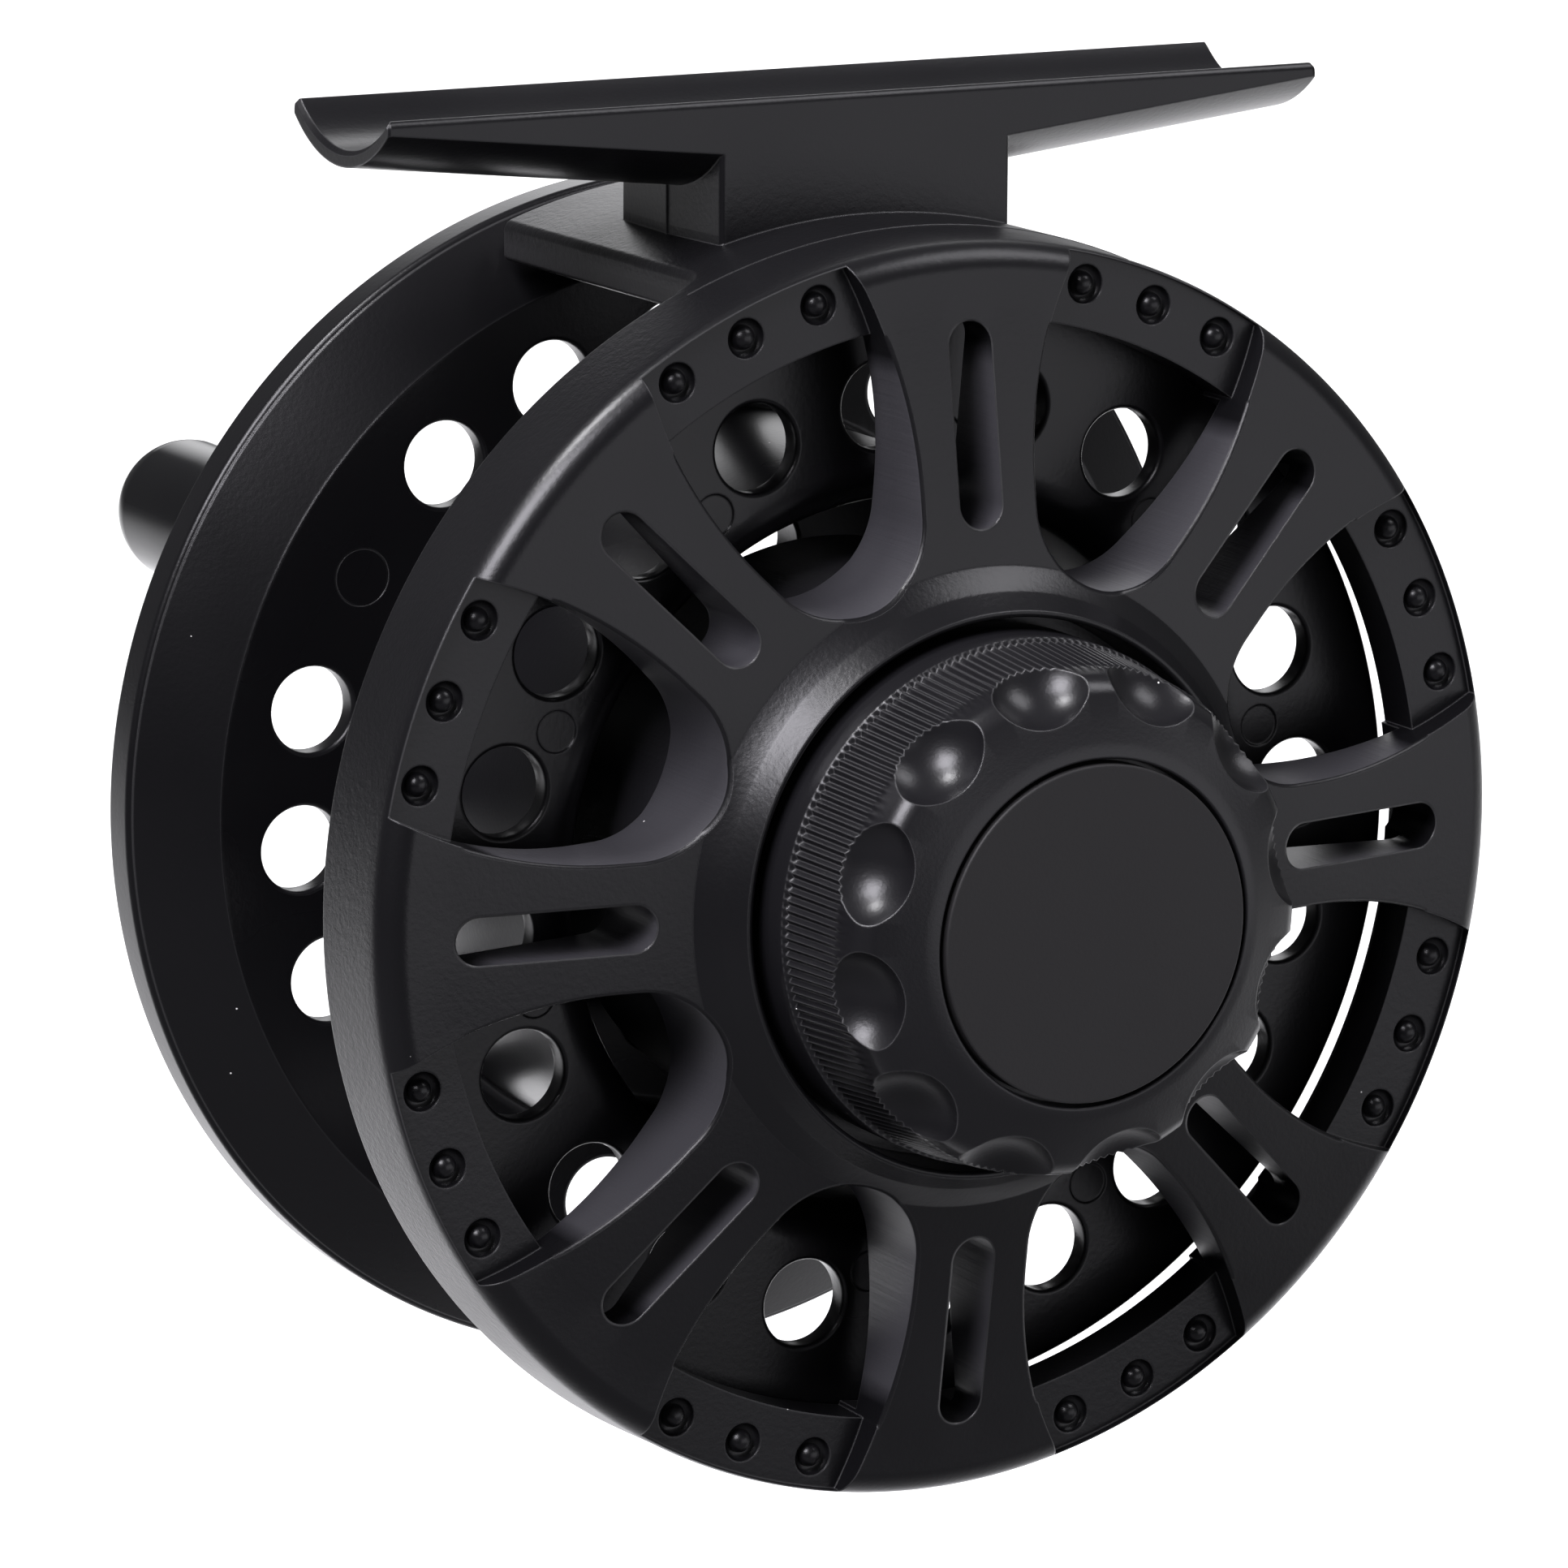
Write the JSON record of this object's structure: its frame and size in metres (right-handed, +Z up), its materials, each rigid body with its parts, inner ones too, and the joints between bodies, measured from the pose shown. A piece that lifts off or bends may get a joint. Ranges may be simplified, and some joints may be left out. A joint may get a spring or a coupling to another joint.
{
  "type": "fly reel",
  "caption": "Large-arbor fly reel with a spoked frame face, a front drag knob, a palming spool rim, a winding handle and a saddle foot that clamps to a rod seat.",
  "frame": {"origin": "on the axis of the foot's saddle, which is the rod's axis, midway along the foot", "axes": "+Z up from the reel to the rod, +Y to the winding handle's side, X along the rod"},
  "size_m": [0.0856, 0.0877, 0.0937],
  "materials": {
    "black_coat": "satin black coat on die-cast metal",
    "black_anodised": "satin black on turned metal",
    "cap_plastic": "matt",
    "handle_plastic": "gloss black",
    "steel": "turned",
    "spring_steel": "bright",
    "chrome_steel": "polished",
    "bare_aluminium": "turned",
    "brass": "turned",
    "bronze": "sintered",
    "friction_lining": "woven fibre",
    "seal_rubber": "matt"
  },
  "bodies": {
    "frame_assembly": {"frame": "black_coat", "spindle": "steel", "knob_screw": "steel", "knob_washer": "steel", "disc_springs": "spring_steel", "front_friction_washer": "friction_lining", "rear_friction_washer": "friction_lining", "drag_cover": "bare_aluminium", "cover_circlip": "spring_steel", "shaft_seal": "seal_rubber", "pawl_pin": "steel", "pawl_spring": "spring_steel", "bearing_inner_race": "chrome_steel"},
    "drag_knob": {"drag_knob": "black_anodised", "knob_cap": "cap_plastic", "detent_ball": "chrome_steel", "detent_spring": "spring_steel"},
    "thrust_carrier": {"thrust_nut": "brass", "pressure_plate": "steel"},
    "drag_rotor": {"drag_rotor": "bare_aluminium", "rotor_bush": "bronze"},
    "click_pawl": {"click_pawl": "steel"},
    "spool": {"spool": "black_coat", "click_gear": "brass", "clutch_shell": "steel", "clutch_rollers": "chrome_steel", "bearing_outer_race": "chrome_steel", "bearing_balls": "chrome_steel", "latch_clip": "spring_steel", "cap_circlip": "spring_steel", "release_spring": "spring_steel", "handle_post": "steel", "handle_washer": "steel", "handle_snap_ring": "spring_steel"},
    "release_cap": {"release_cap": "black_anodised"},
    "handle": {"handle_knob": "handle_plastic"}
  },
  "joints": [
    {"name": "spool_spin", "type": "hinge", "parent": "frame_assembly", "child": "spool", "pos_m": [0, 0, -0.05835], "axis": [0, 1, 0], "continuous": true},
    {"name": "handle_spin", "type": "hinge", "parent": "spool", "child": "handle", "pos_m": [-0.02623, 0.03, -0.04183], "axis": [0, 1, 0], "continuous": true},
    {"name": "knob_turn", "type": "hinge", "parent": "frame_assembly", "child": "drag_knob", "pos_m": [0, -0.03, -0.05835], "axis": [0, 1, 0], "range_deg": [0, 330]},
    {"name": "thrust_slide", "type": "slide", "parent": "frame_assembly", "child": "thrust_carrier", "axis": [0, 1, 0], "range_m": [0, 0.00045834], "deforming": ["disc_springs"]},
    {"name": "rotor_slip", "type": "hinge", "parent": "frame_assembly", "child": "drag_rotor", "pos_m": [0, -0.01, -0.05835], "axis": [0, 1, 0], "continuous": true},
    {"name": "pawl_lift", "type": "hinge", "parent": "frame_assembly", "child": "click_pawl", "pos_m": [0.0116, -0.0023, -0.06735], "axis": [0, 1, 0], "range_deg": [0, 12], "stiffness_Nm_per_rad": 0.005, "springref_deg": -2.86, "deforming": ["pawl_spring"]},
    {"name": "release_press", "type": "slide", "parent": "spool", "child": "release_cap", "axis": [0, -1, 0], "range_m": [0, 0.0009], "stiffness_N_per_m": 800, "springref_m": -0.001, "deforming": ["release_spring"]}
  ],
  "couplings": [
    {"joint": "thrust_slide", "follows": "knob_turn", "m_per_rad": 0.000079577}
  ]
}
